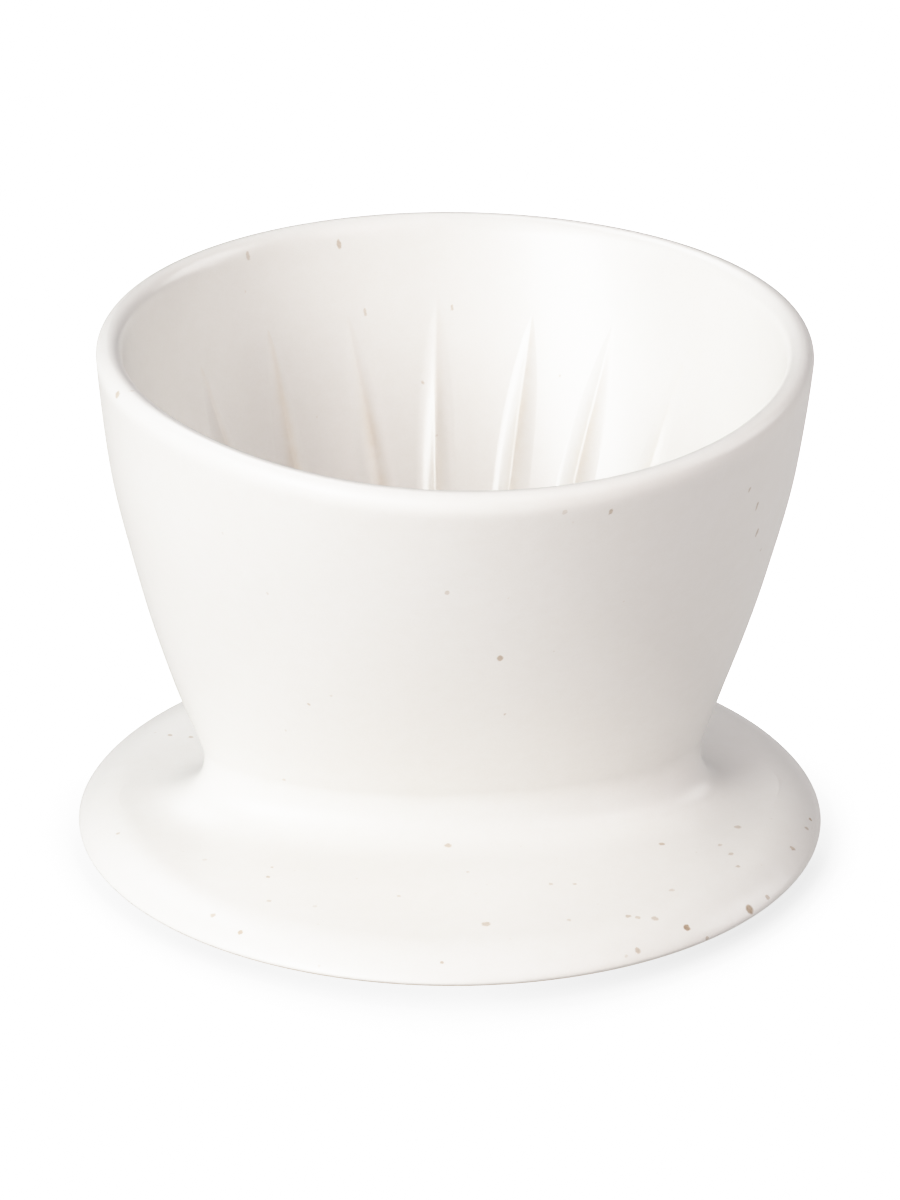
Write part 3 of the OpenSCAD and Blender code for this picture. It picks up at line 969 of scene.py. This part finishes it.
# painted soft shadow round the saucer, drawn into the floor's brightness: bearing in degrees from
# the front (right is positive), depth
SHADOW_DEPTH = [(-110, 0.0), (-85, 5), (-69, 7), (-45, 10), (0, 10), (12, 14.5), (28, 19),
                (47, 22.5), (69, 19.5), (77, 13), (90, 7), (110, 0.0)]
DEPTH_SCALE = 25
# share of SHADOW_REACH (mm) from the saucer's edge, share of the depth left
SHADOW_FALL = [(0.0, 1.0), (0.06, 1.0), (0.20, 0.80), (0.30, 0.56), (0.40, 0.38), (0.60, 0.13),
               (0.80, 0.03), (1.0, 0.0)]
SHADOW_REACH = 8.0
FRONT_SQUASH = 0.173  # weight of the squared Y share of the distance: it falls off slower there
# shadow depth, brightness seen by the camera
FLOOR_LEVEL = [(0.0, 2.7), (0.02, 2.1), (0.04, 1.854), (0.08, 1.62), (0.20, 1.31), (0.40, 1.116),
               (0.60, 1.0), (0.96, 0.866)]
GLOW_REACH = 14.0  # the floor's glow is weaker this close to the saucer, in mm


def floor_material():
    net = Nodes(bpy.data.materials.new("floor_white"))
    where = net.add("ShaderNodeNewGeometry")
    flat = net.vector("MULTIPLY", where.outputs["Position"], (1000.0, 1000.0, 0.0))
    split = net.add("ShaderNodeSeparateXYZ")
    net.feed(split.inputs[0], flat)
    radius = net.vector("LENGTH", flat)
    bearing = net.math("ARCTAN2", split.outputs[0], net.mul(split.outputs[1], -1.0))
    turn = net.mul_add(bearing, gain=1 / (2 * math.pi), offset=0.5)
    depth = net.ramp(turn, [((degrees + 180) / 360, value / DEPTH_SCALE)
                            for degrees, value in SHADOW_DEPTH], "LINEAR")
    part_x, part_y = [net.math("DIVIDE", split.outputs[i], net.math("MAXIMUM", radius, 1.0))
                      for i in range(2)]
    squash = net.math("SQRT", net.math("ADD", net.mul(part_x, part_x),
                                       net.mul(net.mul(part_y, part_y), FRONT_SQUASH)))
    away = net.mul(net.math("SUBTRACT", radius, SAUCER_R), squash)
    fall = net.ramp(net.math("DIVIDE", away, SHADOW_REACH), SHADOW_FALL, "LINEAR")
    level = net.ramp(net.mul(depth, fall), FLOOR_LEVEL, "LINEAR")
    # under the saucer, seen only through the drip holes, the floor is painted dark as shade
    under = net.ramp(net.math("DIVIDE", radius, SAUCER_R), [(0.85, 0.05), (0.93, 1.0)])
    seen = net.add("ShaderNodeEmission")
    net.feed(seen.inputs["Color"], net.mix(1.0, level, under, "MULTIPLY"))
    glow = net.add("ShaderNodeEmission")
    glow.inputs["Color"].default_value = (*FLOOR_GLOW, 1)
    near = net.math("DIVIDE", net.math("SUBTRACT", radius, SAUCER_R), GLOW_REACH)
    net.feed(glow.inputs["Strength"], net.ramp(near, [(0.0, 0.78), (1.0, 1.0)]))
    path = net.add("ShaderNodeLightPath")
    both = net.mix_shader(path.outputs["Is Camera Ray"], glow, seen.outputs[0])
    # it is clear from below, so that it doesn't hide the underside
    clear = net.add("ShaderNodeBsdfTransparent")
    sided = net.add("ShaderNodeMixShader")
    for socket, value in zip(sided.inputs, (where.outputs["Backfacing"], both,
                                            clear.outputs[0])):
        net.feed(socket, value)
    net.feed(net.out.inputs["Surface"], sided.outputs[0])
    return net.owner


bpy.ops.mesh.primitive_plane_add(size=6.0, location=(0, 0, -0.0003))
ground = bpy.context.object
ground.name = "pale_floor"
ground.data.materials.append(floor_material())


def build_world():
    """White to the camera, a dim glow to everything else."""
    world = bpy.data.worlds.new("studio")
    scene.world = world
    net = Nodes(world, "ShaderNodeOutputWorld")
    path = net.add("ShaderNodeLightPath")
    seen, glow = [net.add("ShaderNodeBackground") for _ in range(2)]
    for background, colour, strength in ((seen, (1, 1, 1), 2.8), (glow, SKY_GLOW, 1.0)):
        background.inputs[0].default_value = (*colour, 1)
        background.inputs[1].default_value = strength
    mixed = net.mix_shader(path.outputs["Is Camera Ray"], glow, seen.outputs[0])
    net.feed(net.out.inputs[0], mixed)


build_world()

# ---------------------------------------------------------------- lights and camera, in metres

# softboxes: azimuth from the front (right is positive), elevation, strength per channel
LIGHTS = [
    (-150, 52, (0.491, 0.503, 0.526)),
    (-16, 28, (0.157, 0.137, 0.132)),
    (-32, 28, (0.140, 0.132, 0.128)),
    (-32, 8, (0.255, 0.240, 0.238)),
    (-48, 52, (0.165, 0.155, 0.148)),
    (-48, 8, (0.325, 0.330, 0.320)),
    (-65, 28, (0.345, 0.368, 0.360)),
    (-65, 52, (0.231, 0.224, 0.216)),
    (105, 28, (0.472, 0.478, 0.474)),
    (42, 52, (0.268, 0.230, 0.226)),
]
# one narrower and brighter box draws the highlights down the inside
WINDOW = (-47, 27, (0.770, 0.780, 0.760))
LIGHT_AIM = Vector((0, 0, 0.040))
LIGHT_DISTANCE = 1.3
LIGHT_POWER = 10.0  # watts at strength 1


def direction(azimuth, elevation):
    """Unit vector from the subject, by degrees from the front and above the floor."""
    azimuth, elevation = math.radians(azimuth), math.radians(elevation)
    return Vector((math.sin(azimuth) * math.cos(elevation),
                   -math.cos(azimuth) * math.cos(elevation), math.sin(elevation)))


def softbox(name, azimuth, elevation, strength, width, height):
    toward = direction(azimuth, elevation)
    brightest = max(strength)
    light = bpy.data.lights.new(name, "AREA")
    light.shape = "RECTANGLE"
    light.size, light.size_y = width, height
    light.energy = LIGHT_POWER * brightest
    light.color = tuple(channel / brightest for channel in strength)
    obj = add_object(name, light)
    obj.location = LIGHT_AIM + toward * LIGHT_DISTANCE
    obj.rotation_mode = "QUATERNION"
    obj.rotation_quaternion = toward.to_track_quat("Z", "Y")


for i, light in enumerate(LIGHTS):
    softbox("softbox_%02d" % i, *light, width=0.7, height=0.7)
softbox("window", *WINDOW, width=0.52, height=0.62)

CAMERA_TARGET = Vector((0, 0, 0.0379))
CAMERA_AZIMUTH, CAMERA_ELEVATION = -3.7, 24.645
CAMERA_DISTANCE = 1.20937
CAMERA_ROLL = 0.0043  # radians

lens = bpy.data.cameras.new("camera")
lens.lens = 227.2
lens.sensor_width = 36.0
lens.clip_start, lens.clip_end = 0.05, 20.0
# the subject sits a little right of and below the middle of the frame
lens.shift_x, lens.shift_y = -0.00076667, 0.0026
camera = add_object("camera", lens)
toward = direction(CAMERA_AZIMUTH, CAMERA_ELEVATION)
camera.location = CAMERA_TARGET + toward * CAMERA_DISTANCE
camera.rotation_mode = "QUATERNION"
roll = Matrix.Rotation(CAMERA_ROLL, 3, "Z").to_quaternion()
camera.rotation_quaternion = (-toward).to_track_quat("-Z", "Y") @ roll
scene.camera = camera
